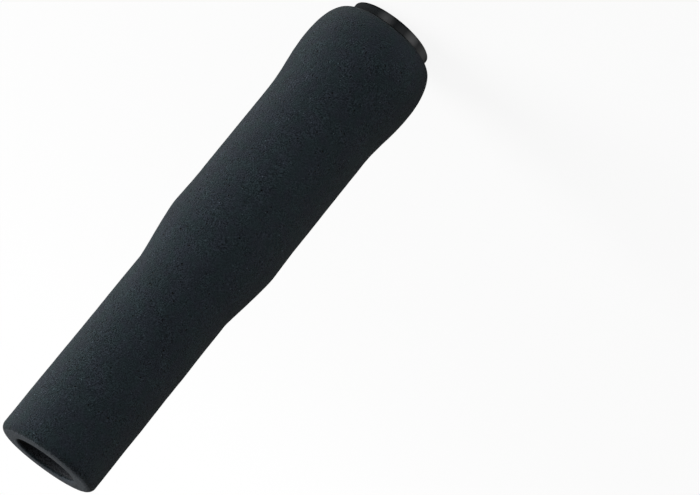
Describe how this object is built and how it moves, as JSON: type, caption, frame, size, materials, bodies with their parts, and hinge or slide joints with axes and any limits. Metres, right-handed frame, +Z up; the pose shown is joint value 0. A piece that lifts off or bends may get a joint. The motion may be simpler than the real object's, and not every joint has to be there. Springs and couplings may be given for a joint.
{
  "type": "handlebar grip",
  "caption": "Foam handlebar grip with a straight barrel, a swell under the palm, a rounded outer bulge and a flanged push-in plug with a recessed disc in its end.",
  "frame": {"origin": "centre of the plug's rim, which the grip stands on", "axes": "+Z up the grip's axis, from the plug's rim to the open end that goes on the bar first; X and Y across it, with no preferred direction"},
  "size_m": [0.0368, 0.0368, 0.1536],
  "materials": {
    "foam": "matte porous silicone foam",
    "plug": "satin moulded plastic",
    "disc": "bronze tinted, glossy"
  },
  "bodies": {
    "root": {"foam_sleeve": "foam", "end_plug": "plug", "plug_disc": "disc"}
  },
  "joints": []
}
